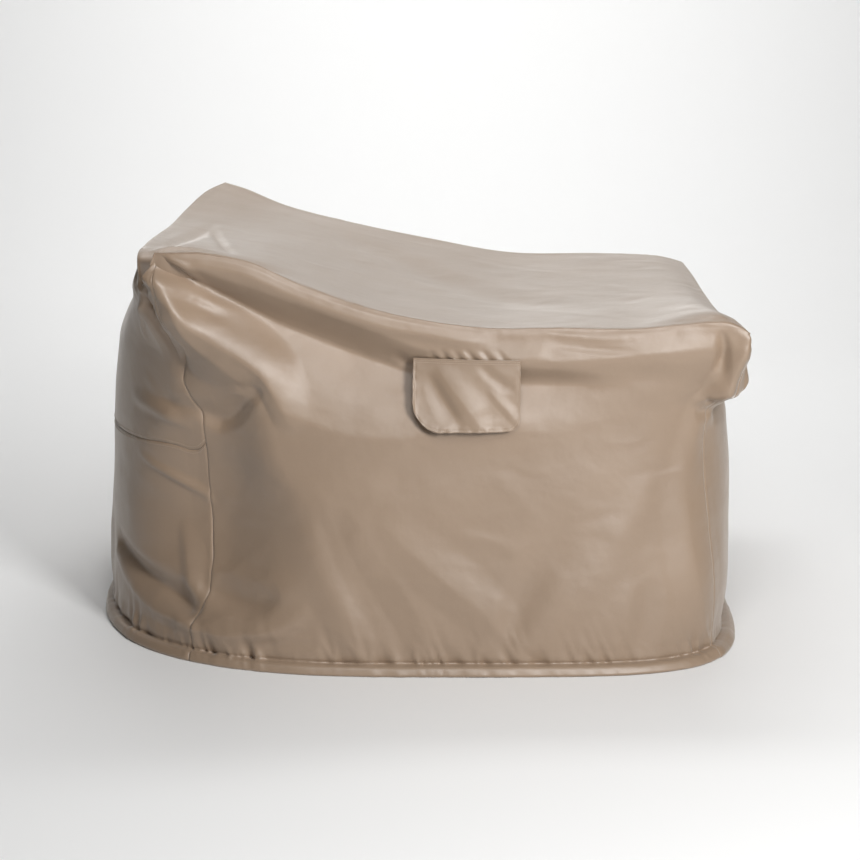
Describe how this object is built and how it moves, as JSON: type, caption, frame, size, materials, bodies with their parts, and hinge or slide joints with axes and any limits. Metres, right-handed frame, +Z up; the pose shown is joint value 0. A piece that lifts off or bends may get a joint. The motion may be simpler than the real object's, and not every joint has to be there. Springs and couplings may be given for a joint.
{
  "type": "armchair cover",
  "caption": "Fitted outdoor cloth cover for a low armchair, hollow and open at its rolled hem, with creased draped walls, a raised back corner and a vent flap on one side.",
  "frame": {"origin": "point under the middle of the top panel where the chair beneath holds the cover", "axes": "+X from the chair's back to its front, +Y away from the side with the vent flap, +Z up; the hem meets the floor 0.5405 m below the origin"},
  "size_m": [1.08, 1.0156, 0.6669],
  "materials": {
    "cloth": "satin"
  },
  "bodies": {
    "root": {"top_panel": "cloth", "near_side_panel": "cloth", "front_panel": "cloth", "far_side_panel": "cloth", "back_upper_panel": "cloth", "back_lower_panel": "cloth", "vent_flap": "cloth"}
  },
  "joints": []
}
